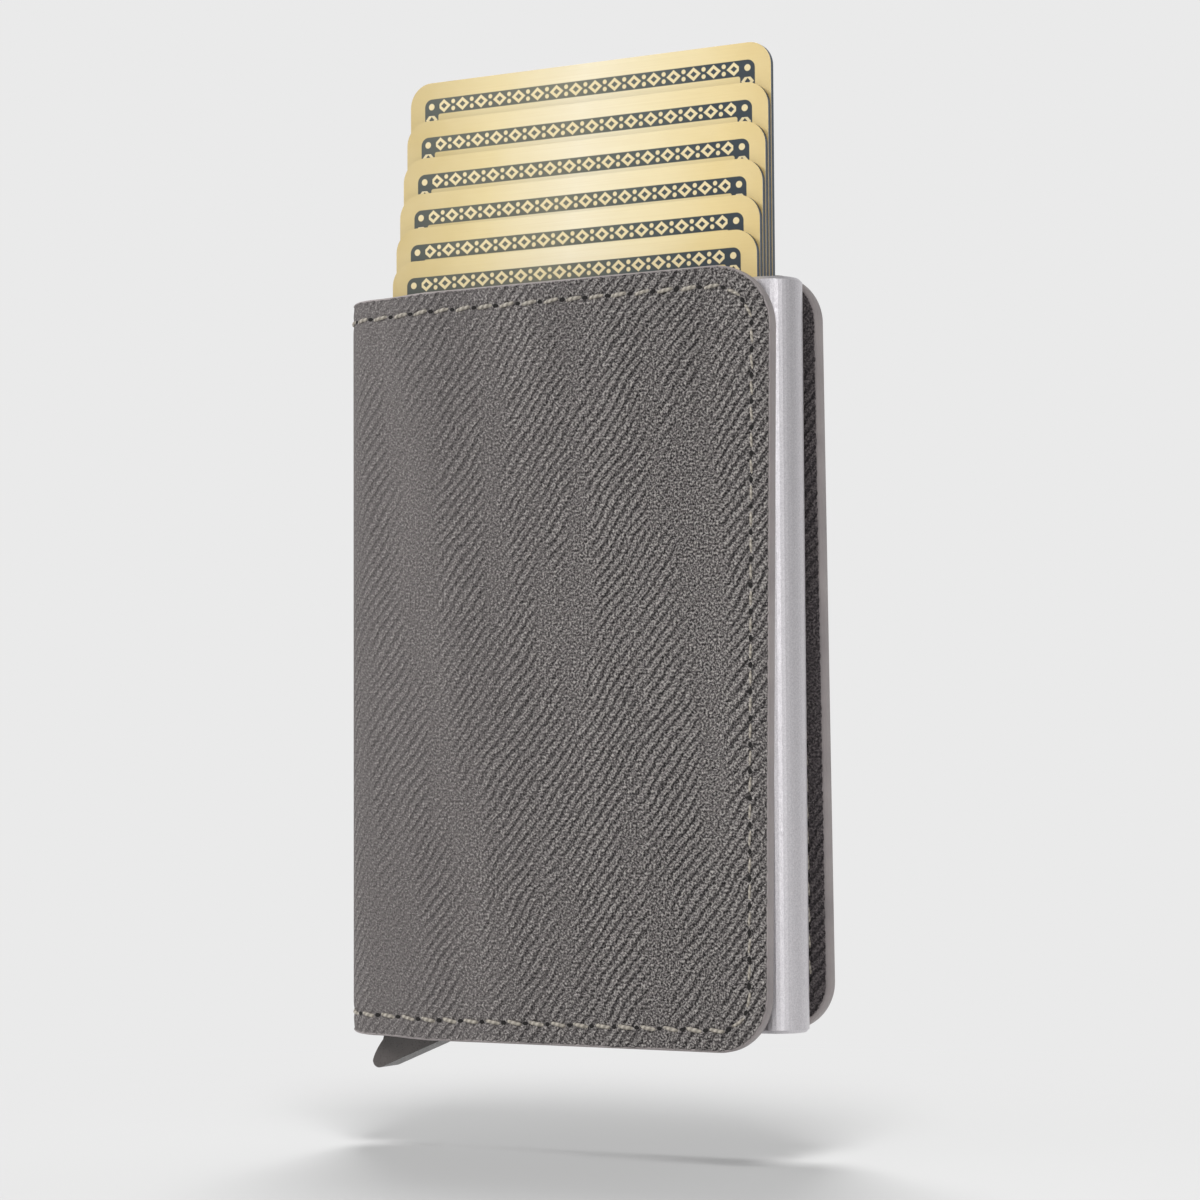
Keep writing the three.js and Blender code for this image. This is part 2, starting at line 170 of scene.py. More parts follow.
class Nodes:
    """Short calls for building a node tree. A scale counts a noise's features per unit of the
    vector it is laid on: millimetres on the "wrap" map, metres on a piece's own coordinates."""

    def __init__(self, tree, output):
        self.tree = tree
        self.tree.nodes.clear()
        self.out = self.new(output)

    def new(self, kind):
        return self.tree.nodes.new("ShaderNode" + kind)

    def put(self, socket, value):
        if isinstance(value, bpy.types.NodeSocket):
            self.tree.links.new(value, socket)
        else:
            socket.default_value = value

    def show(self, shader):
        self.put(self.out.inputs[0], shader)

    def coord(self, kind="Object"):
        return self.new("TexCoord").outputs[kind]

    def uv(self, name):
        node = self.new("UVMap")
        node.uv_map = name
        return node.outputs[0]

    def split(self, vector):
        node = self.new("SeparateXYZ")
        self.put(node.inputs[0], vector)
        return tuple(node.outputs)

    def join(self, x, y, z):
        node = self.new("CombineXYZ")
        for socket, value in zip(node.inputs, (x, y, z)):
            self.put(socket, value)
        return node.outputs[0]

    def math(self, kind, a, b=0.0):
        node = self.new("Math")
        node.operation = kind
        self.put(node.inputs[0], a)
        self.put(node.inputs[1], b)
        return node.outputs[0]

    def add(self, a, b):
        return self.math("ADD", a, b)

    def less(self, a, b):
        return self.math("SUBTRACT", a, b)

    def times(self, a, b):
        return self.math("MULTIPLY", a, b)

    def wave(self, count):
        """A sine that swings once for each whole number in `count`."""
        return self.math("SINE", self.times(count, TURN))

    def vector(self, kind, a, b=(0.0, 0.0, 0.0)):
        node = self.new("VectorMath")
        node.operation = kind
        self.put(node.inputs[0], a)
        self.put(node.inputs[1], b)
        return node.outputs["Value" if kind in ("DOT_PRODUCT", "LENGTH") else "Vector"]

    def noise(self, vector, scale, detail=3.0, rough=0.5):
        node = self.new("TexNoise")
        self.put(node.inputs["Vector"], vector)
        node.inputs["Scale"].default_value = scale
        node.inputs["Detail"].default_value = detail
        node.inputs["Roughness"].default_value = rough
        return node.outputs["Fac"]

    def cells(self, vector, scale):
        node = self.new("TexVoronoi")
        self.put(node.inputs["Vector"], vector)
        node.inputs["Scale"].default_value = scale
        return node.outputs["Distance"]

    def remap(self, value, low, high, to_low=0.0, to_high=1.0, soft=False):
        node = self.new("MapRange")
        node.interpolation_type = "SMOOTHSTEP" if soft else "LINEAR"
        self.put(node.inputs[0], value)
        for socket, number in zip(node.inputs[1:5], (low, high, to_low, to_high)):
            self.put(socket, number)
        return node.outputs[0]

    def spread(self, noise, to_low=0.0, to_high=1.0):
        """A noise's usual reach, 0.3 to 0.7, stretched from `to_low` to `to_high`."""
        return self.remap(noise, 0.3, 0.7, to_low, to_high)

    def ramp(self, value, stops):
        node = self.new("ValToRGB")
        self.put(node.inputs[0], value)
        ramp = node.color_ramp
        while len(ramp.elements) < len(stops):
            ramp.elements.new(0.5)
        for element, (place, colour) in zip(ramp.elements, stops):
            element.position = place
            element.color = colour
        return node.outputs[0]

    def blend(self, factor, a, b):
        node = self.new("Mix")
        node.data_type = "RGBA"
        self.put(node.inputs[0], factor)
        self.put(node.inputs[6], a)
        self.put(node.inputs[7], b)
        return node.outputs[2]

    def bump(self, height, strength, distance):
        node = self.new("Bump")
        self.put(node.inputs["Height"], height)
        node.inputs["Strength"].default_value = strength
        node.inputs["Distance"].default_value = distance
        return node.outputs[0]

    def glow(self, kind, colour):
        node = self.new(kind)
        self.put(node.inputs["Color"], colour)
        return node.outputs[0]

    def either(self, factor, first, second):
        node = self.new("MixShader")
        for socket, value in zip(node.inputs, (factor, first, second)):
            self.put(socket, value)
        return node.outputs[0]


class Material(Nodes):
    """One material's node tree, round its shader."""

    def __init__(self, name):
        self.material = bpy.data.materials.new(name)
        self.material.use_nodes = True
        super().__init__(self.material.node_tree, "OutputMaterial")
        self.shader = self.new("BsdfPrincipled")
        self.show(self.shader.outputs[0])

    def set(self, name, value):
        self.put(self.shader.inputs[name], value)

    def done(self, colour, rough, height, strength, depth):
        """`depth` is what a height of 1 stands for, in metres."""
        self.set("Base Color", colour)
        self.set("Roughness", rough)
        self.set("Normal", self.bump(height, strength, depth))
        return self.material


RIB_WAVE = (0.664, -0.5225, 0.0)  # ribs per millimetre
ROPE_WAVE = (0.83, 0.62, 0.0)  # thread marks per millimetre, along the ribs
TALL = (1.0, 0.16, 1.0)  # draws a noise out into upright bands
WORN_REACH = (6.0, 58.0)  # from the middle of the spine: worn smooth, and still crisp
PAINT_SOFT = 0.08
RELIEF_DEPTH = 0.0007


def paint_look(n):
    """Edge paint over cut leather: smooth, with slow waves and a few dull places."""
    place = n.coord()
    wave = n.noise(place, 170.0)
    dust = n.noise(place, 2600.0, 2.0)
    colour = n.blend(n.spread(wave), linear(146, 139, 139), linear(163, 155, 154))
    height = n.add(n.times(wave, 0.5), n.times(dust, 0.06))
    return colour, n.spread(dust, 0.42, 0.6), height


def twill_leather(name, tones, relief, paint_from, mirrored=False):
    """Leather embossed like twill: wobbly diagonal ribs that come and go in tall bands, under
    a fine granular grain. Its rim is painted, from `paint_from` mm inside the outline on."""
    n = Material(name)
    flat = n.uv("wrap")
    from_spine = n.math("ABSOLUTE", n.less(n.split(flat)[0], SPINE_MIDDLE))
    worn = n.remap(from_spine, *WORN_REACH, 0.34, 1.0, soft=True)
    if mirrored:
        flat = n.vector("MULTIPLY", flat, (-1.0, 1.0, 1.0))

    def swing(noise, size):
        return n.times(n.less(noise, 0.5), size)

    # The ribs bend slowly, wobble and have frayed sides.
    drift = n.noise(flat, 1.1, 2.0)
    across = n.vector("DOT_PRODUCT", flat, RIB_WAVE)
    across = n.add(across, swing(n.noise(flat, 0.09, 2.0), 2.2))
    across = n.add(across, swing(drift, 0.5))
    across = n.add(across, swing(n.noise(flat, 3.4, 1.0), 0.34))
    rib = n.remap(n.wave(across), -0.97, 0.15, soft=True)
    along = n.add(n.vector("DOT_PRODUCT", flat, ROPE_WAVE), swing(drift, 1.8))
    rope = n.remap(n.wave(along), -1.0, 1.0, 0.84, 1.0)
    tall = n.vector("MULTIPLY", flat, TALL)
    streak = n.remap(n.noise(tall, 0.15, 2.0), 0.37, 0.55, 0.12, 1.0, soft=True)
    ridge = n.times(n.times(rib, rope), streak)
    speck = n.remap(n.noise(flat, 3.5, 3.0, 0.64), 0.35, 0.65)
    height = n.add(n.times(ridge, 0.82), n.times(speck, 0.43))

    # The colour follows the relief as painted light and shade: painted shade darkens the grooves,
    # and the grain is painted paler on its raised specks and darker in its pits.
    painted_groove_shade = n.times(n.less(rib, 0.66), n.times(streak, 0.46))
    painted_grain_light_and_shade = n.times(n.less(speck, 0.5), 1.12)
    tone = n.times(n.add(painted_groove_shade, painted_grain_light_and_shade), worn)
    band = n.spread(n.noise(tall, 0.1, 4.0), 0.46, 0.54)
    tone = n.add(tone, n.less(band, n.remap(worn, 0.3, 1.0, 0.05, 0.0)))
    leather = n.ramp(tone, list(zip((0.0, 0.5, 1.0), tones)))

    paint, paint_rough, paint_height = paint_look(n)
    ragged = swing(n.noise(flat, 1.3, 3.0, 0.6), 0.5)
    inside = n.add(n.split(n.uv("rim"))[0], ragged)
    bare = n.remap(inside, paint_from - PAINT_SOFT, paint_from + PAINT_SOFT, soft=True)
    painted = n.less(1.0, bare)
    rough = n.remap(speck, 0.0, 1.0, 0.88, 0.66)
    rough = n.add(n.times(rough, bare), n.times(paint_rough, painted))
    height = n.add(n.times(n.times(height, worn), bare), n.times(paint_height, painted))
    n.set("Specular IOR Level", 0.34)
    return n.done(n.blend(bare, paint, leather), rough, height, relief, RELIEF_DEPTH)


def blasted_aluminium():
    """Extruded, bead-blasted and anodised: an even satin with a fine crystalline grain."""
    n = Material("aluminium_satin")
    place = n.coord()
    grain = n.noise(place, 5200.0, 3.0, 0.65)
    pits = n.noise(place, 2300.0, 2.0)
    draw = n.noise(n.vector("MULTIPLY", place, (900.0, 900.0, 12.0)), 1.0, 2.0)
    tone = n.add(n.times(grain, 0.88), n.times(draw, 0.12))
    colour = n.ramp(tone, [(0.3, linear(196, 193, 197)), (0.72, linear(228, 225, 228))])
    n.set("Metallic", 1.0)
    return n.done(colour, n.spread(pits, 0.36, 0.46), n.add(grain, n.times(pits, 0.5)),
                  0.28, 0.00005)


def lever_plastic():
    """Moulded plastic, rubbed to a satin, with faint clouds in its colour."""
    n = Material("lever_satin_plastic")
    place = n.coord()
    texture = n.noise(place, 3000.0, 3.0, 0.6)
    cloud = n.noise(place, 240.0)
    colour = n.blend(n.spread(cloud), linear(70, 66, 64), linear(86, 81, 79))
    return n.done(colour, n.spread(texture, 0.24, 0.36), texture, 0.3, 0.00006)


def cap_plastic():
    """Moulded plastic with a spark-eroded, matt surface."""
    n = Material("cap_matt_plastic")
    spark = n.noise(n.coord(), 2600.0, 3.0, 0.6)
    colour = n.blend(n.spread(spark), linear(30, 30, 31), linear(44, 43, 43))
    return n.done(colour, n.spread(spark, 0.5, 0.68), spark, 0.35, 0.00008)


def pin_steel():
    """Steel ground round the pin's axis."""
    n = Material("ground_steel")
    lay = n.noise(n.vector("MULTIPLY", n.coord(), (1500.0, 9000.0, 1500.0)), 1.0, 2.0)
    colour = n.blend(lay, linear(176, 176, 178), linear(206, 206, 208))
    n.set("Metallic", 1.0)
    return n.done(colour, n.spread(lay, 0.22, 0.36), lay, 0.2, 0.00004)


def black_felt():
    """Pressed felt: fine fuzz over soft clumps."""
    n = Material("felt_black")
    place = n.coord()
    fuzz = n.noise(place, 2400.0, 5.0, 0.7)
    clump = n.noise(place, 520.0)
    tone = n.times(fuzz, clump)
    colour = n.ramp(tone, [(0.12, linear(24, 23, 24)), (0.42, linear(66, 64, 66))])
    n.set("Sheen Weight", 0.35)
    return n.done(colour, n.spread(fuzz, 0.86, 0.98), n.add(fuzz, clump), 0.8, 0.0002)


def foam_tape():
    """Foam with fine open cells."""
    n = Material("foam_tape")
    cell = n.cells(n.coord(), 2200.0)
    colour = n.blend(cell, linear(226, 222, 212), linear(196, 190, 178))
    return n.done(colour, n.remap(cell, 0.0, 0.8, 0.7, 0.9), cell, 0.5, 0.00012)


def waxed_thread():
    """Waxed thread: a fast twist along the stitch, its colour following the twist's relief as
    painted light and shade, paler on the ridges and darker between them.
    """
    n = Material("thread_waxed")
    along, around, _ = n.split(n.uv("wrap"))
    twist = n.remap(n.wave(n.add(n.times(along, 1.35), around)), -1.0, 1.0)
    fuzz = n.noise(n.coord(), 3800.0)
    tone = n.add(n.times(twist, 0.34), n.times(fuzz, 0.66))
    colour = n.ramp(tone, [(0.2, linear(108, 102, 94)), (0.55, linear(166, 159, 148)),
                           (0.85, linear(202, 196, 184))])
    return n.done(colour, n.spread(fuzz, 0.55, 0.75), tone, 0.6, 0.00012)


def painted_hole_shade():
    """A needle hole's spot, near black and frayed: painted shade standing in for the depth of a
    hole that the mesh does not cut.
    """
    n = Material("needle_hole")
    fuzz = n.noise(n.coord(), 5000.0)
    colour = n.blend(fuzz, linear(10, 9, 9), linear(30, 27, 26))
    return n.done(colour, n.spread(fuzz, 0.85, 0.97), fuzz, 0.6, 0.0001)


CARD_COUNT = 6
CARD_HALF_WIDTH = 53.98 / 2
CARD_HALF_HEIGHT = 85.6 / 2
BORDER_OUTER, BORDER_OUTER_RADIUS = 2.25, 1.1  # how far inside the card's outline it lies
BORDER_INNER, BORDER_INNER_RADIUS = 4.35, 0.3
BORDER_MIDDLE = 3.3
MOTIF_PITCH = 2.9
LOZENGE_SLIM = 0.86
LOZENGE_HALF, LOZENGE_HEART = 0.9, 0.4
DOT_RADIUS, DOT_OFF = 0.3, 0.48  # two small dots lie either side of the middle line
CORNER_DOT_RADIUS = 0.44
CORNER_SQUARE = (-1.25, -1.2)  # the motif stops in a square round each corner's dot,
CORNER_NOTCH = (-0.76, -0.7)  # but for the square's innermost part
CARD_FILM = (0.26, 0.33)  # where the pale printed layer starts, from the card's middle


def card_material(name, low, high):
    """A printed bank card: pale gold with a narrow border of plain lozenges and dots."""
    n = Material(name)
    place = n.coord()
    x, y, z = n.split(place)

    def millimetres(a, b):
        return n.times(n.less(a, b), 1 / MM)

    across = millimetres(x, (low.x + high.x) / 2)
    up = millimetres(z, (low.z + high.z) / 2)
    side = n.math("ABSOLUTE", across)
    end = n.math("ABSOLUTE", up)

    def rounded(inset, radius):
        """Signed distance to a rounded rectangle that lies `inset` inside the card."""
        dx = n.less(side, CARD_HALF_WIDTH - inset - radius)
        dz = n.less(end, CARD_HALF_HEIGHT - inset - radius)
        out = n.vector("LENGTH", n.join(n.math("MAXIMUM", dx, 0.0),
                                        n.math("MAXIMUM", dz, 0.0), 0.0))
        deep = n.math("MINIMUM", n.math("MAXIMUM", dx, dz), 0.0)
        return n.less(n.add(out, deep), radius)

    def within(distance, limit, soft=0.05):
        return n.remap(distance, limit - soft, limit + soft, 1.0, 0.0, soft=True)

    outer = rounded(BORDER_OUTER, BORDER_OUTER_RADIUS)
    inner = rounded(BORDER_INNER, BORDER_INNER_RADIUS)
    ring = n.times(within(outer, 0.0), n.less(1.0, within(inner, 0.0)))

    # The border's own course: along the long sides it counts up, along the ends across.
    on_end = n.math("GREATER_THAN", n.less(end, CARD_HALF_HEIGHT), n.less(side, CARD_HALF_WIDTH))
    course = n.add(n.times(across, on_end),
                   n.times(n.add(up, MOTIF_PITCH / 2), n.less(1.0, on_end)))
    cell = n.less(n.math("FRACT", n.math("DIVIDE", course, MOTIF_PITCH)), 0.5)
    cell = n.times(n.math("ABSOLUTE", cell), MOTIF_PITCH)
    rise = n.math("ABSOLUTE", n.add(outer, BORDER_MIDDLE - BORDER_OUTER))
    lozenge = n.add(n.times(cell, LOZENGE_SLIM), rise)
    hollow = n.less(within(lozenge, LOZENGE_HALF, 0.06), within(lozenge, LOZENGE_HEART, 0.06))
    dot = n.vector("LENGTH", n.join(n.less(MOTIF_PITCH / 2, cell), n.less(rise, DOT_OFF), 0.0))
    motif = n.math("MAXIMUM", hollow, within(dot, DOT_RADIUS))

    # Each corner of the border holds one larger dot.
    from_side = n.less(side, CARD_HALF_WIDTH - BORDER_MIDDLE)
    from_end = n.less(end, CARD_HALF_HEIGHT - BORDER_MIDDLE)
    in_corner = n.times(n.remap(n.math("MINIMUM", from_side, from_end), *CORNER_SQUARE),
                        n.remap(n.math("MAXIMUM", from_side, from_end), *CORNER_NOTCH))
    motif = n.times(motif, n.less(1.0, in_corner))
    corner = n.vector("LENGTH", n.join(from_side, from_end, 0.0))
    motif = n.math("MAXIMUM", motif, within(corner, CORNER_DOT_RADIUS))

    sheen = n.noise(place, 90.0)
    brush = n.noise(n.vector("MULTIPLY", place, (60.0, 60.0, 5200.0)), 1.0)
    # Across the card the gold carries a painted highlight, pale cream in the middle and darker gold
    # towards both long sides. The border's dark ink carries a painted reflection that greys it over
    # the left and middle, and it stays deep navy only towards the right side.
    painted_highlight_across = n.remap(across, -CARD_HALF_WIDTH, CARD_HALF_WIDTH)
    gold = n.ramp(painted_highlight_across, [(0.0, linear(196, 173, 112)), (0.25, linear(226, 207, 152)),
                          (0.5, linear(242, 231, 200)), (0.7, linear(238, 222, 176)),
                          (0.88, linear(229, 206, 144)), (1.0, linear(216, 190, 124))])
    gold = n.blend(n.spread(brush, 0.0, 0.16), gold, linear(205, 178, 112))
    gold = n.blend(n.remap(sheen, 0.35, 0.65, 0.0, 0.12), gold, linear(255, 246, 218))
    ink = n.ramp(painted_highlight_across, [(0.0, linear(60, 68, 62)), (0.2, linear(92, 94, 80)),
                         (0.45, linear(112, 112, 94)), (0.65, linear(74, 82, 76)),
                         (0.85, linear(30, 46, 54)), (1.0, linear(20, 38, 50))])
    ink = n.blend(n.spread(sheen, 0.0, 0.25), ink, linear(20, 36, 48))
    printed = n.blend(motif, ink, linear(232, 214, 166))
    face = n.blend(ring, gold, printed)

    # The cut edge shows a dark core with a pale layer on the printed side.
    film = n.remap(millimetres((low.y + high.y) / 2, y), *CARD_FILM, soft=True)
    cut = n.blend(film, linear(30, 50, 68), linear(204, 202, 190))
    normal = n.new("NewGeometry").outputs["Normal"]
    is_face = n.remap(n.math("ABSOLUTE", n.split(normal)[1]), 0.5, 0.6, soft=True)
    height = n.add(n.times(motif, ring), n.times(brush, 0.1))
    return n.done(n.blend(is_face, cut, face), n.spread(brush, 0.3, 0.44), height, 0.25, 0.00004)


OUTER_TONES = (linear(36, 33, 34), linear(119, 114, 113), linear(206, 200, 196))
# The lining is the outer twill in darker tones of less contrast: painted shade of the covers'
# inside faces.
LINING_TONES_WITH_PAINTED_SHADE = (linear(50, 46, 48), linear(83, 77, 79), linear(126, 119, 119))
outer_leather = twill_leather("leather_outer", OUTER_TONES, 1.0, -0.14)
inner_leather = twill_leather("leather_lining", LINING_TONES_WITH_PAINTED_SHADE, 0.6, 0.12, mirrored=True)
felt = black_felt()
thread = waxed_thread()
needle_hole = painted_hole_shade()


# ---------------------------------------------------------------- mesh building
def new_object(name, data):
    made = bpy.data.objects.new(name, data)
    bpy.context.scene.collection.objects.link(made)
    return made


def new_piece(name, bm, materials, closed=True):
    """The bmesh as a piece. A closed one gets outward normals and smooth shading."""
    if closed:
        bmesh.ops.recalc_face_normals(bm, faces=bm.faces)
    mesh = bpy.data.meshes.new(name)
    bm.to_mesh(mesh)
    bm.free()
    piece = new_object(name, mesh)
    for material in materials:
        mesh.materials.append(material)
    if closed:
        mesh.shade_smooth()
    return piece


def outline_courses(columns, rows, open_sides):
    """The grid's places along the sheet's outline, one list for each stretch that has a rim."""
    bottom = [(i, 0) for i in range(columns)]
    right = [(columns - 1, j) for j in range(rows)]
    top = [(i, rows - 1) for i in reversed(range(columns))]
    left = [(0, j) for j in reversed(range(rows))]
    if "left" in open_sides and "right" in open_sides:
        return [bottom, top]
    if "left" in open_sides:
        return [bottom + right[1:] + top[1:]]
    return [bottom + right[1:] + top[1:] + left[1:]]


def rim_profile(depths, rounding, steps):
    """The rim's cross-section as (outwards, depth), and the run along it at each point."""
    depth0, depth1 = depths
    profile = [(0.0, depth0)]
    for k in range(1, steps + 1):
        turn = math.pi / 2 * k / steps
        profile.append((rounding * math.sin(turn), depth0 + rounding * (1 - math.cos(turn))))
    profile.append((rounding, (depth0 + depth1) / 2))
    for k in range(steps + 1):
        turn = math.pi / 2 * k / steps
        profile.append((rounding * math.cos(turn), depth1 - rounding * (1 - math.sin(turn))))
    run = [0.0]
    for (out0, depth_a), (out1, depth_b) in zip(profile, profile[1:]):
        run.append(run[-1] + math.hypot(out1 - out0, depth_b - depth_a))
    return profile, run


UNPAINTED = 5.0  # an inset beyond the reach of the edge paint


def panel(bm, grid, normals, point, depths, rounding, rim_steps, open_sides, inset=None,
          dent=None):
    """One sheet of leather. `grid` is columns of (u, z); its outline is pushed out by
    `rounding` along `normals` to give the rounded rim. Slot 0 is the outer half of the
    sheet and slot 1 the inner half. `open_sides` meet another sheet and get no rim. `inset`
    tells how far inside the outline a place lies, and `dent` how deep it is pressed in."""
    wrap_uv = bm.loops.layers.uv.new("wrap")
    rim_uv = bm.loops.layers.uv.new("rim")
    columns, rows = len(grid), len(grid[0])

    def lay(depth, sunk):
        return [[bm.verts.new(point(u, z, depth + (sunk(u, z) if sunk else 0.0)))
                 for u, z in column] for column in grid]

    outer = lay(depths[0], dent)
    inner = lay(depths[1], None)

    def face(verts, places, insets, slot):
        made = bm.faces.new(verts)
        made.material_index = slot
        for loop, place, far in zip(made.loops, places, insets):
            loop[wrap_uv].uv = place
            loop[rim_uv].uv = (far, place[1])

    for i in range(columns - 1):
        for j in range(rows - 1):
            ring = [(i, j), (i + 1, j), (i + 1, j + 1), (i, j + 1)]
            places = [grid[a][b] for a, b in ring]
            insets = [inset(u, z) if inset else UNPAINTED for u, z in places]
            face([outer[a][b] for a, b in ring], places, insets, 0)
            face([inner[a][b] for a, b in reversed(ring)], places[::-1], insets[::-1], 1)

    profile, run = rim_profile(depths, rounding, rim_steps)
    for course in outline_courses(columns, rows, open_sides):
        loops = [[outer[a][b] for a, b in course]]
        for out, depth in profile[1:-1]:
            ring = []
            for a, b in course:
                u, z = grid[a][b]
                nu, nz = normals[(a, b)]
                ring.append(bm.verts.new(point(u + nu * out, z + nz * out, depth)))
            loops.append(ring)
        loops.append([inner[a][b] for a, b in course])
        if course[0] == course[-1]:
            for ring in loops[1:-1]:
                bm.verts.remove(ring.pop())
                ring.append(ring[0])
        for k in range(len(loops) - 1):
            slot = 0 if k <= rim_steps else 1
            for m in range(len(course) - 1):
                quad, places, insets = [], [], []
                for where, r in ((m, k), (m, k + 1), (m + 1, k + 1), (m + 1, k)):
                    u, z = grid[course[where][0]][course[where][1]]
                    nu, nz = normals[course[where]]
                    away = run[r] if slot == 0 else run[-1] - run[r]
                    quad.append(loops[r][where])
                    places.append((u + nu * away, z + nz * away))
                    insets.append(-away)
                face(quad, places, insets, slot)
    return outer, inner


def arc_columns(start, straight_end, corner, steps, run):
    """Column places from `start` to the outline's corner, then round its arc by equal angles."""
    count = max(2, round((straight_end - start) / run))
    columns = [start + (straight_end - start) * i / count for i in range(count + 1)]
    for k in range(1, steps + 1):
        columns.append(straight_end + corner * math.sin(math.pi / 2 * k / steps))
    return columns


def corner_at(x, edge, corner):
    """How much a rounded corner draws the outline in at x, and the outline's slope there."""
    share = min(max((x - (edge - corner)) / corner, 0.0), 1.0)
    rest = math.sqrt(max(0.0, 1.0 - share * share))
    return corner * (1 - rest), share, rest


def close_end(bm, outer, inner, column):
    """A flat wall of its own where a sheet meets the next one."""
    wall = outer[column] + inner[column][::-1]
    bm.faces.new([bm.verts.new(v.co) for v in wall])


# ---------------------------------------------------------------- covers and spine
GRID_RUN = 0.8
RIM_STEPS = 4
CORNER_STEPS = 22
SPINE_COLUMNS = 40
STITCH_INSET = 2.7
GROOVE_WIDTH = 0.55
GROOVE_DEPTH = 0.16
RIM_FALL_WIDTH = 0.9
RIM_FALL_DEPTH = 0.12
# Rows close to the rim and to the stitch line, where the surface is dented.
NEAR_ROWS = [0.0, 0.4, 0.8, 1.4, 1.8, 2.05, 2.3, 2.55, 2.9, 3.4, 4.1]


def line_distance(cover, x, z, inset):
    """Distance from the line that follows the cover's outline at `inset`, inwards positive."""
    low, high = cover_limits(cover, x)
    for corner, centre_z, outward in ((cover["corner_below"], low + cover["corner_below"], -1),
                                      (cover["corner_above"], high - cover["corner_above"], 1)):
        cx = cover["edge"] - corner
        if x > cx and (z - centre_z) * outward > 0:
            return corner - inset - math.hypot(x - cx, z - centre_z)
    return min(z - low, high - z, cover["edge"] - x) - inset


def groove(distance):
    """The seam presses a groove into the leather."""
    return GROOVE_DEPTH * math.exp(-(distance / GROOVE_WIDTH) ** 2)


def rim_fall(distance):
    """The surface falls a little towards the rim."""
    return RIM_FALL_DEPTH * math.exp(-(max(distance, 0.0) / RIM_FALL_WIDTH) ** 2)


def row_shares(height):
    """Even rows between the rows near both rims, as shares of the height."""
    far = NEAR_ROWS[-1]
    count = max(2, round((height - 2 * far) / GRID_RUN))
    body = [far + (height - 2 * far) * i / count for i in range(1, count)]
    places = NEAR_ROWS + body + [height - near for near in reversed(NEAR_ROWS)]
    return [place / height for place in places]


ROW_SHARES = row_shares(SPINE_HIGH - SPINE_LOW - 2 * EDGE_ROUND)
LAST_ROW = len(ROW_SHARES) - 1


def cover_piece(name, cover):
    """One cover, both layers, from just past the fold to its free edge."""
    edge = cover["edge"] - EDGE_ROUND
    below = cover["corner_below"] - EDGE_ROUND
    above = cover["corner_above"] - EDGE_ROUND
    wide = max(below, above)
    xs = arc_columns(FOLD_X + SEAM_RUN, edge - wide, wide, CORNER_STEPS, GRID_RUN)
    way = -cover["side"]
    grid = []
    normals = {}
    for i, x in enumerate(xs):
        low, high = cover_limits(cover, x)
        cut_low, out_low, down = corner_at(x, edge, below)
        cut_high, out_high, up = corner_at(x, edge, above)
        low += EDGE_ROUND + cut_low
        high -= EDGE_ROUND + cut_high
        grid.append([(u_at(cover, x), mix(low, high, share)) for share in ROW_SHARES])
        normals[(i, 0)] = (way * out_low, -down)
        normals[(i, LAST_ROW)] = (way * out_high, up)
    for j in range(1, LAST_ROW):
        normals[(len(xs) - 1, j)] = (float(way), 0.0)

    def inset(u, z):
        return line_distance(cover, x_at(cover, u), z, EDGE_ROUND)

    def dent(u, z):
        return groove(line_distance(cover, x_at(cover, u), z, STITCH_INSET)) \
            + rim_fall(inset(u, z))

    bm = bmesh.new()
    outer, inner = panel(bm, grid, normals, wrap_point, (0.0, WRAP_THICK), EDGE_ROUND, RIM_STEPS,
                         ("left",), inset, dent)
    close_end(bm, outer, inner, 0)
    return new_piece(name, bm, [outer_leather, inner_leather])


def spine_piece(name):
    """The leather between the covers, round the case's left side."""
    us = [SEAM_RUN, SEAM_RUN / 2]
    us += [-SPINE_ARC * i / SPINE_COLUMNS for i in range(SPINE_COLUMNS + 1)]
    us += [-SPINE_ARC - SEAM_RUN / 2, -SPINE_ARC - SEAM_RUN]
    us = us[::-1]
    grid = []
    normals = {}
    for i, u in enumerate(us):
        low, high = wrap_limits(u)
        grid.append([(u, mix(low + EDGE_ROUND, high - EDGE_ROUND, share)) for share in ROW_SHARES])
        normals[(i, 0)] = (0.0, -1.0)
        normals[(i, LAST_ROW)] = (0.0, 1.0)

    def inset(u, z):
        low, high = wrap_limits(u)
        return min(z - low, high - z) - EDGE_ROUND

    def dent(u, z):
        return groove(inset(u, z) + EDGE_ROUND - STITCH_INSET) + rim_fall(inset(u, z))

    bm = bmesh.new()
    outer, inner = panel(bm, grid, normals, wrap_point, (0.0, WRAP_THICK), EDGE_ROUND, RIM_STEPS,
                         ("left", "right"), inset, dent)
    close_end(bm, outer, inner, 0)
    close_end(bm, outer, inner, len(us) - 1)
    return new_piece(name, bm, [outer_leather, inner_leather])


front_cover = cover_piece("front_cover_leather", FRONT)
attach(front_cover, "front_cover")
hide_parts("front_outer_skin", "front_inner_leather")

back_cover = cover_piece("back_cover_leather", BACK)
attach(back_cover, "case")
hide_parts("back_outer_skin", "back_inner_leather")


def bend(piece):
    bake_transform(piece)


spine = spine_piece("spine_leather")
bend(spine)
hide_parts("spine_outer_skin", "spine_inner_leather")

# ---------------------------------------------------------------- pockets inside the front cover
POCKET_SHEET = 0.35
POCKET_PITCH = 0.4
POCKET_FROM = -17.5
POCKET_TO = 29.7
POCKET_LOW = -0.9
POCKET_CORNER = 6.0
POCKET_ROUND = 0.13
POCKET_RIM_STEPS = 3
POCKET_CORNER_STEPS = 10
POCKET_RUN = 1.0
POCKET_ROWS = 56
NOTE_TOP = 84.0
SLOT_TOP = 58.0
SLOT_DIP = 6.0


def slot_top(x):
    return SLOT_TOP - SLOT_DIP * smooth((x - POCKET_FROM) / (POCKET_TO - POCKET_FROM))


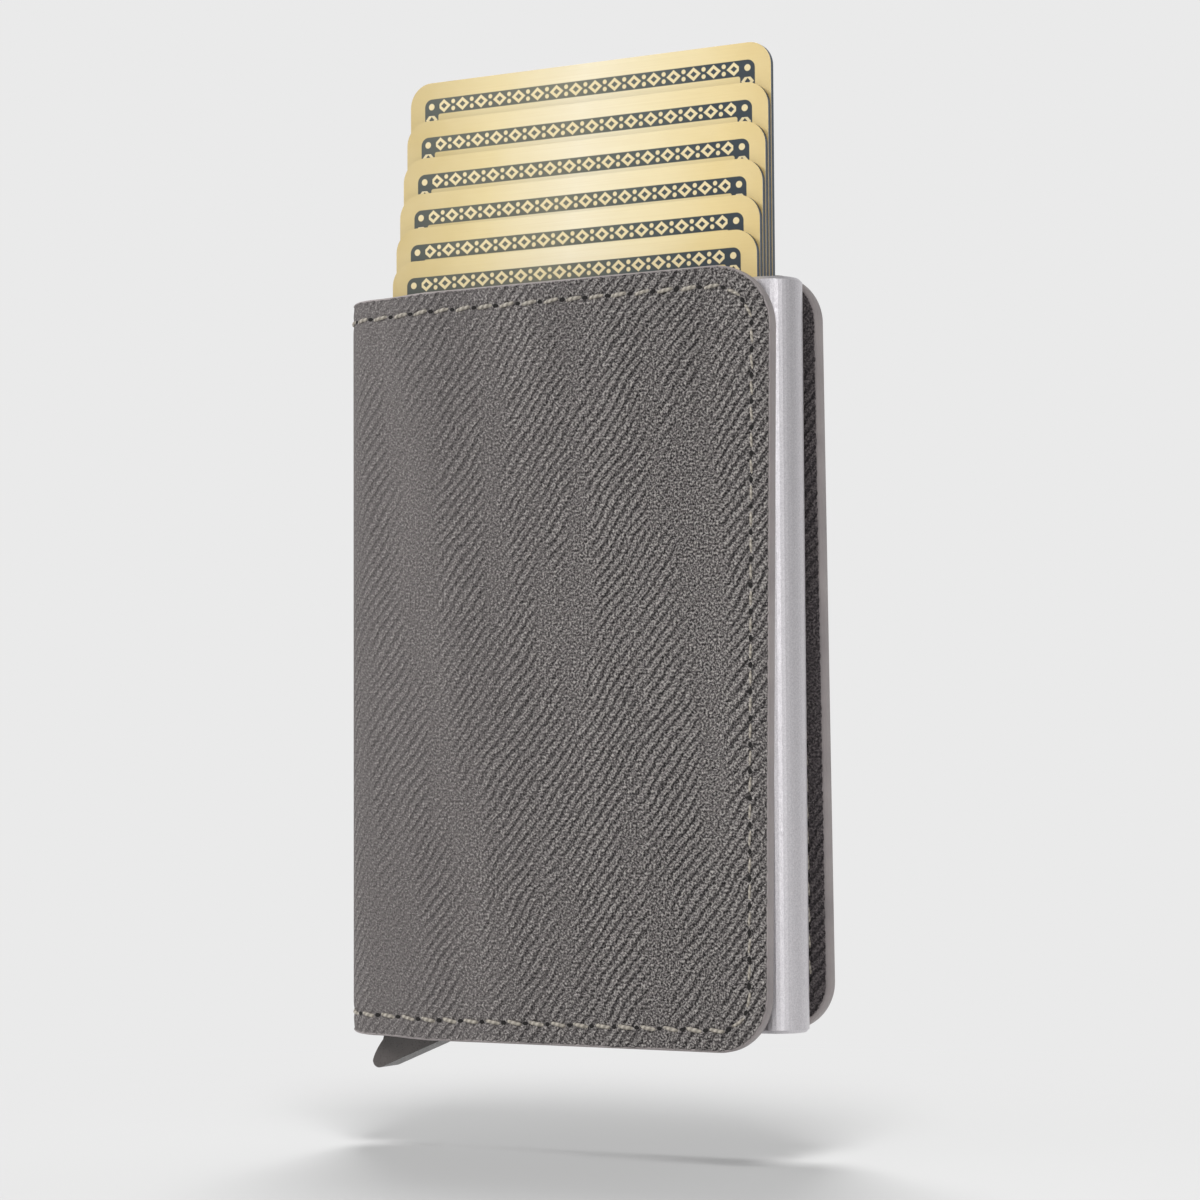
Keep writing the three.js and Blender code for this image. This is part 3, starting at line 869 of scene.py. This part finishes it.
def pocket_piece(name, layer, top_of):
    """A thin leather pocket: sewn at three sides, open at its upper edge."""
    corner = POCKET_CORNER - POCKET_ROUND
    edge = POCKET_TO - POCKET_ROUND
    xs = arc_columns(POCKET_FROM + POCKET_ROUND, edge - corner, corner, POCKET_CORNER_STEPS,
                     POCKET_RUN)
    last = len(xs) - 1
    top = POCKET_ROWS - 1
    grid = []
    normals = {}
    for i, x in enumerate(xs):
        cut, out, down = corner_at(x, edge, corner)
        low = POCKET_LOW + POCKET_ROUND + cut
        high = top_of(x) - POCKET_ROUND
        grid.append([(u_at(FRONT, x), mix(low, high, j / top)) for j in range(POCKET_ROWS)])
        normals[(i, 0)] = (out, -down)
        normals[(i, top)] = (0.0, 1.0)
    for j in range(1, POCKET_ROWS):
        normals[(last, j)] = (1.0, 0.0)
        normals[(0, j)] = (-1.0, 0.0)
    slant = math.sqrt(0.5)
    normals[(0, 0)] = (-slant, -slant)
    normals[(0, top)] = (-slant, slant)
    normals[(last, top)] = (slant, slant)

    def point(u, z, depth):
        x = x_at(FRONT, u)
        y = WRAP_INNER + layer * POCKET_PITCH + POCKET_SHEET - depth + flare_of(FRONT, x, z)
        return row(x, -y, z)

    bm = bmesh.new()
    panel(bm, grid, normals, point, (0.0, POCKET_SHEET), POCKET_ROUND, POCKET_RIM_STEPS, ())
    piece = new_piece(name, bm, [inner_leather, inner_leather])
    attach(piece, "front_cover")
    return piece


card_slot = pocket_piece("card_slot_leather", 0, slot_top)
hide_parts("card_slot_panel")
note_pocket = pocket_piece("note_pocket_leather", 1, lambda x: NOTE_TOP)
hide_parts("note_pocket_panel")

# ---------------------------------------------------------------- felt strips in the mouth
FELT_COLUMNS, FELT_ROWS = 60, 8
FELT_NAP = 0.03
FELT_EDGE_SINK = 0.05


def felt_piece(name, node):
    """A felt strip whose faces are a little uneven and fall off at the rim."""
    low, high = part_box(node)
    size = high - low
    rng = random.Random(name)
    bm = bmesh.new()
    layers = []
    for y, sign in ((low.y, -1), (high.y, 1)):
        made = []
        for i in range(FELT_COLUMNS + 1):
            line = []
            for j in range(FELT_ROWS + 1):
                rim = i in (0, FELT_COLUMNS) or j in (0, FELT_ROWS)
                nap = FELT_NAP * MM * rng.uniform(-1, 0) if not rim else -FELT_EDGE_SINK * MM
                line.append(bm.verts.new((low.x + size.x * i / FELT_COLUMNS, y + sign * nap,
                                          low.z + size.z * j / FELT_ROWS)))
            made.append(line)
        layers.append(made)
    front, back = layers
    for i in range(FELT_COLUMNS):
        for j in range(FELT_ROWS):
            bm.faces.new((front[i][j], front[i + 1][j], front[i + 1][j + 1], front[i][j + 1]))
            bm.faces.new((back[i][j], back[i][j + 1], back[i + 1][j + 1], back[i + 1][j]))
    course = outline_courses(FELT_COLUMNS + 1, FELT_ROWS + 1, ())[0]
    for (i, j), (k, m) in zip(course, course[1:]):
        bm.faces.new((front[i][j], back[i][j], back[k][m], front[k][m]))
    piece = new_piece(name, bm, [felt])
    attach(piece, "case")
    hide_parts(node)


felt_piece("felt_strip_front", "friction_pad_front")
felt_piece("felt_strip_back", "friction_pad_back")

# ---------------------------------------------------------------- stitching
FOLD_TO_CORNER_STEPS = 120
CORNER_PATH_STEPS = 24
FREE_EDGE_STEPS = 160
SPINE_PATH_STEPS = 60

SEWING_SEED = 7
STITCH_PITCH = 3.3
STITCH_LENGTH = 2.62
STITCH_SECTIONS = 11
STITCH_SIDES = 8
ARCH_POWER = 0.45
END_THICKNESS = 0.45  # as a share of the thread's own
THREAD_HALF = 0.27
THREAD_HALF_SPREAD = (0.92, 1.08)
THREAD_FLAT = 0.8
THREAD_RISE = 0.14
THREAD_DIVE = -0.42
THREAD_SLANT = 0.2
THREAD_STRAY = 0.06
UPRIGHT_SLIM = 0.3  # a stitch along Z is this much slimmer, and pulled this much deeper
UPRIGHT_SUNK = 0.7

HOLE_LONG = (0.36, 0.46)
HOLE_WIDE = (0.26, 0.34)
HOLE_SIDES = 10
HOLE_RINGS = ((1.0, -0.05), (0.9, 0.06), (0.5, 0.045))  # share of its size, height
HOLE_MIDDLE_RISE = 0.03


def stitch_path(cover):
    """Points (u, z) along one cover's stitch line, from its lower fold round to its upper fold."""
    def straight(end, upper):
        places = []
        for i in range(FOLD_TO_CORNER_STEPS + 1):
            x = mix(FOLD_X, end, i / FOLD_TO_CORNER_STEPS)
            low, high = cover_limits(cover, x)
            places.append((x, high - STITCH_INSET if upper else low + STITCH_INSET))
        return places

    def arc(corner, centre_z, upper):
        radius = corner - STITCH_INSET
        places = []
        for k in range(1, CORNER_PATH_STEPS + 1):
            turn = math.pi / 2 * k / CORNER_PATH_STEPS
            rise = radius * math.cos(turn)
            places.append((cover["edge"] - corner + radius * math.sin(turn),
                           centre_z + rise if upper else centre_z - rise))
        return places

    below, above = cover["corner_below"], cover["corner_above"]
    low, high = cover["low"] + below, cover["high"] - above
    way = straight(cover["edge"] - below, False) + arc(below, low, False)
    way += [(cover["edge"] - STITCH_INSET, mix(low, high, k / FREE_EDGE_STEPS))
            for k in range(1, FREE_EDGE_STEPS + 1)]
    way += (straight(cover["edge"] - above, True) + arc(above, high, True)[:-1])[::-1]
    return [(u_at(cover, x), z) for x, z in way]


def spine_path(upper):
    places = []
    for i in range(SPINE_PATH_STEPS + 1):
        u = -SPINE_ARC * (1 - i / SPINE_PATH_STEPS)
        low, high = wrap_limits(u)
        places.append((u, high - STITCH_INSET if upper else low + STITCH_INSET))
    return places


def whole_path():
    """One closed run: spine below, front cover, spine above, back cover."""
    path = spine_path(False)
    path += stitch_path(FRONT)[1:]
    path += spine_path(True)[::-1][1:]
    path += stitch_path(BACK)[::-1][1:]
    return path


def lay_out(path):
    """Arc length at each point of the path, measured in (u, z)."""
    lengths = [0.0]
    for (u0, z0), (u1, z1) in zip(path, path[1:]):
        lengths.append(lengths[-1] + math.hypot(u1 - u0, z1 - z0))
    return lengths


def at(path, lengths, s):
    """The place at arc length s, and the path's direction there."""
    s = min(max(s, 0.0), lengths[-1])
    low, high = 0, len(lengths) - 1
    while high - low > 1:
        middle = (low + high) // 2
        if lengths[middle] <= s:
            low = middle
        else:
            high = middle
    span = lengths[high] - lengths[low]
    t = (s - lengths[low]) / span if span > 0 else 0.0
    (u0, z0), (u1, z1) = path[low], path[high]
    step = math.hypot(u1 - u0, z1 - z0) or 1.0
    return (mix(u0, u1, t), mix(z0, z1, t)), ((u1 - u0) / step, (z1 - z0) / step)


def region_of(u):
    if u > SEAM_RUN:
        return "front"
    if u < -SPINE_ARC - SEAM_RUN:
        return "back"
    return "spine"


def inside_depth(u, z):
    """How deep the inner surface lies: the lining, or the pocket sheets sewn over it."""
    if u <= 0:
        return WRAP_THICK
    x = x_at(FRONT, u)
    if POCKET_FROM < x < POCKET_TO:
        lift = FRONT["room"] * past_fold(x)
        if z < slot_top(x):
            return WRAP_THICK + lift
        if z < NOTE_TOP:
            return WRAP_THICK + lift - POCKET_PITCH
    return WRAP_THICK


def add_stitch(bm, uvs, path, lengths, s0, s1, outside, rng, width):
    """One stitch: a slim rounded strand that dives into the leather at both ends."""
    rings = []
    tilt = rng.uniform(-THREAD_STRAY, THREAD_STRAY)
    for i in range(STITCH_SECTIONS):
        share = i / (STITCH_SECTIONS - 1)
        (u, z), (du, dz) = at(path, lengths, mix(s0, s1, share))
        lean = min(max(1 - 2 * z / CASE_HIGH, -1.0), 1.0)
        off = (THREAD_SLANT * lean + tilt) * (1 - 2 * share)
        u, z = u - dz * off, z + du * off
        arch = math.sin(math.pi * share) ** ARCH_POWER if 0 < share < 1 else 0.0
        fat = width * mix(END_THICKNESS, 1.0, arch) * (1 - UPRIGHT_SLIM * abs(dz))
        rise = mix(THREAD_DIVE, THREAD_RISE * (1 - UPRIGHT_SUNK * abs(dz)), arch)
        ring = []
        for k in range(STITCH_SIDES):
            turn = TURN * k / STITCH_SIDES
            side = math.cos(turn) * fat
            lift = rise + math.sin(turn) * fat * THREAD_FLAT
            depth = GROOVE_DEPTH - lift if outside else inside_depth(u, z) + lift
            point = wrap_point(u - dz * side, z + du * side, depth)
            ring.append((bm.verts.new(point), (mix(s0, s1, share), k / STITCH_SIDES)))
        rings.append(ring)
    for a, b in zip(rings, rings[1:]):
        for k in range(STITCH_SIDES):
            m = (k + 1) % STITCH_SIDES
            made = bm.faces.new((a[k][0], a[m][0], b[m][0], b[k][0]))
            ends = [a[k][1], a[m][1], b[m][1], b[k][1]]
            if m == 0:
                ends[1] = (ends[1][0], 1.0)
                ends[2] = (ends[2][0], 1.0)
            for loop, place in zip(made.loops, ends):
                loop[uvs].uv = place
    for ring in (rings[0], rings[-1]):
        made = bm.faces.new([v for v, _ in ring])
        for loop, (_, place) in zip(made.loops, ring):
            loop[uvs].uv = place


def add_hole(bm, path, lengths, s, outside, rng):
    """A needle hole: a small dished spot, pulled longer along the seam."""
    (u, z), (du, dz) = at(path, lengths, s)
    long, wide = rng.uniform(*HOLE_LONG), rng.uniform(*HOLE_WIDE)

    def place(a, b, lift):
        pu, pz = u + du * a - dz * b, z + dz * a + du * b
        depth = GROOVE_DEPTH - lift if outside else inside_depth(pu, pz) + lift
        return wrap_point(pu, pz, depth)

    turns = [TURN * k / HOLE_SIDES for k in range(HOLE_SIDES)]
    rings = [[bm.verts.new(place(math.cos(turn) * long * scale,
                                 math.sin(turn) * wide * scale, lift)) for turn in turns]
             for scale, lift in HOLE_RINGS]
    middle = bm.verts.new(place(0.0, 0.0, HOLE_MIDDLE_RISE))
    for a, b in zip(rings, rings[1:]):
        for k in range(HOLE_SIDES):
            m = (k + 1) % HOLE_SIDES
            bm.faces.new((a[k], a[m], b[m], b[k]))
    for k in range(HOLE_SIDES):
        bm.faces.new((rings[-1][k], rings[-1][(k + 1) % HOLE_SIDES], middle))
    bm.faces.new(rings[0][::-1])


def sew():
    """Stitches and needle holes all round the wrap, outside and inside, in one piece of each
    kind for each part that moves its own way."""
    path = whole_path()
    lengths = lay_out(path)
    count = round(lengths[-1] / STITCH_PITCH)
    pitch = lengths[-1] / count
    length = pitch * STITCH_LENGTH / STITCH_PITCH
    rng = random.Random(SEWING_SEED)
    meshes = {}
    for region in ("front", "spine", "back"):
        for outside in (True, False):
            threads = bmesh.new()
            meshes[(region, outside)] = (threads, threads.loops.layers.uv.new("wrap"), bmesh.new())
    for i in range(count):
        start = pitch * i
        hole_at = start + (length + pitch) / 2
        for outside in (True, False):
            (u, _), _ = at(path, lengths, start + length / 2)
            threads, uvs, _ = meshes[(region_of(u), outside)]
            width = THREAD_HALF * rng.uniform(*THREAD_HALF_SPREAD)
            add_stitch(threads, uvs, path, lengths, start, start + length, outside, rng, width)
            (u, _), _ = at(path, lengths, hole_at)
            _, _, holes = meshes[(region_of(u), outside)]
            add_hole(holes, path, lengths, hole_at, outside, rng)
    for (region, outside), (threads, _, holes) in meshes.items():
        side = "outside" if outside else "inside"
        for bm, kind, material in ((threads, "stitches", thread),
                                   (holes, "needle_holes", needle_hole)):
            piece = new_piece(f"{kind}_{region}_{side}", bm, [material])
            if region == "spine":
                bend(piece)
            else:
                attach(piece, "front_cover" if region == "front" else "case")


sew()


# ---------------------------------------------------------------- CAD pieces' materials
def give(node, material):
    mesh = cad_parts[node].data
    mesh.materials.clear()
    mesh.materials.append(material)


for card in range(1, CARD_COUNT + 1):
    card_node = f"card_{card}"
    give(card_node, card_material(f"card_print_{card}", *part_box(card_node)))
give("case_tube", blasted_aluminium())
give("bottom_cap", cap_plastic())
give("lever_pivot_pin", pin_steel())
give("case_tape", foam_tape())
give("ejector_lever", lever_plastic())

# ---------------------------------------------------------------- stage, light, camera
BACKDROP = grey(0.8228)
FLOOR_Z = -0.010
FLOOR_HALF = 3.0
FLOOR_TONE = 0.33
FLOOR_FADE = (0.06, 0.17)  # from the middle: real paper, and all backdrop
WORLD_FRONT = (0.1, -0.99, 0.1)
# The surroundings' level, from straight behind (0) past the sides to straight in front (1).
WORLD_STOPS = [(0.0, 0.85), (0.18, 0.7), (0.4, 0.35), (0.72, 0.62), (0.94, 0.75), (1.0, 0.75)]
# Each lamp's place, aim, size across and up, watts, and what it does with the floor: INCLUDE
# lights nothing but the floor, and EXCLUDE all but the floor.
LAMPS = {
    "overhead_front": ((0.208, -0.392, 0.896), (0, 0, 0), (0.28, 0.42), 10.5, "INCLUDE"),
    "overhead_back": ((-0.202, 0.395, 0.896), (0, 0, 0), (0.28, 0.42), 10.5, "INCLUDE"),
    "key": ((-0.62, -0.6, 0.62), (0, 0, 0.06), (0.3, 0.3), 5.6, "EXCLUDE"),
    "right_front": ((0.53, -0.59, 0.19), (0, 0, 0.06), (0.2, 0.4), 0.6, "EXCLUDE"),
}
CAMERA_PLACE = (189.10, -355.70, 29.49)
CAMERA_AZIMUTH, CAMERA_TILT, CAMERA_ROLL = map(math.radians, (27.631, 3.648, -0.317))
CAMERA_LENS, CAMERA_SENSOR = 92.67, 36.0


def stage_floor():
    """Paper that takes the wallet's shadow, and turns into the even backdrop further out."""
    bm = bmesh.new()
    for x, y in ((-1, -1), (1, -1), (1, 1), (-1, 1)):
        bm.verts.new((x * FLOOR_HALF, y * FLOOR_HALF, FLOOR_Z))
    bm.faces.new(bm.verts)
    n = Material("floor_paper")
    n.set("Base Color", grey(FLOOR_TONE))
    n.set("Roughness", 0.9)
    path = n.new("LightPath")
    far = n.remap(n.vector("LENGTH", n.coord()), *FLOOR_FADE, soft=True)
    seen = n.math("MAXIMUM", path.outputs["Is Camera Ray"], path.outputs["Is Glossy Ray"])
    n.show(n.either(n.times(far, seen), n.shader.outputs[0],
                    n.glow("Emission", BACKDROP)))
    floor = new_piece("floor", bm, [n.material], closed=False)


def world_light():
    """Soft studio surroundings: bright in front and behind, dimmer to the sides."""
    world = bpy.data.worlds.new("studio")
    bpy.context.scene.world = world
    world.use_nodes = True
    n = Nodes(world.node_tree, "OutputWorld")
    front = n.vector("DOT_PRODUCT", n.coord("Generated"), WORLD_FRONT)
    fill = n.ramp(n.remap(front, -1.0, 1.0), [(place, grey(level)) for place, level in WORLD_STOPS])
    path = n.new("LightPath")
    n.show(n.either(path.outputs["Is Camera Ray"], n.glow("Background", fill),
                    n.glow("Background", BACKDROP)))


def lamp(name, place, aim, size, watts):
    data = bpy.data.lights.new(name, "AREA")
    data.shape = "RECTANGLE"
    data.size, data.size_y = size
    data.energy = watts
    made = new_object(name, data)
    made.location = place
    made.rotation_euler = (Vector(aim) - Vector(place)).to_track_quat("-Z", "Y").to_euler()
    return made


def flag_floor(light, state):
    flag = bpy.data.collections.new(light.name + "_flag")
    flag.objects.link(bpy.data.objects["floor"])
    light.light_linking.receiver_collection = flag
    for link in flag.collection_objects:
        link.light_linking.link_state = state


def camera():
    """The photo's own view, as fitted to points of the wallet."""
    forward = Vector((-math.sin(CAMERA_AZIMUTH) * math.cos(CAMERA_TILT),
                      math.cos(CAMERA_AZIMUTH) * math.cos(CAMERA_TILT), math.sin(CAMERA_TILT)))
    right = forward.cross(Vector((0, 0, 1))).normalized()
    up = right.cross(forward)
    turned_right = right * math.cos(CAMERA_ROLL) + up * math.sin(CAMERA_ROLL)
    turned_up = up * math.cos(CAMERA_ROLL) - right * math.sin(CAMERA_ROLL)
    data = bpy.data.cameras.new("camera")
    data.lens = CAMERA_LENS
    data.sensor_width = CAMERA_SENSOR
    data.clip_start = 0.01
    made = new_object("camera", data)
    turn = Matrix((turned_right, turned_up, -forward)).transposed()
    made.matrix_world = Matrix.Translation(row(*CAMERA_PLACE)) @ turn.to_4x4()
    bpy.context.scene.camera = made


stage_floor()
world_light()
for lamp_name, (lamp_place, lamp_aim, lamp_size, lamp_watts, floor_state) in LAMPS.items():
    flag_floor(lamp(lamp_name, lamp_place, lamp_aim, lamp_size, lamp_watts), floor_state)
camera()
bpy.context.scene.view_settings.view_transform = "Standard"
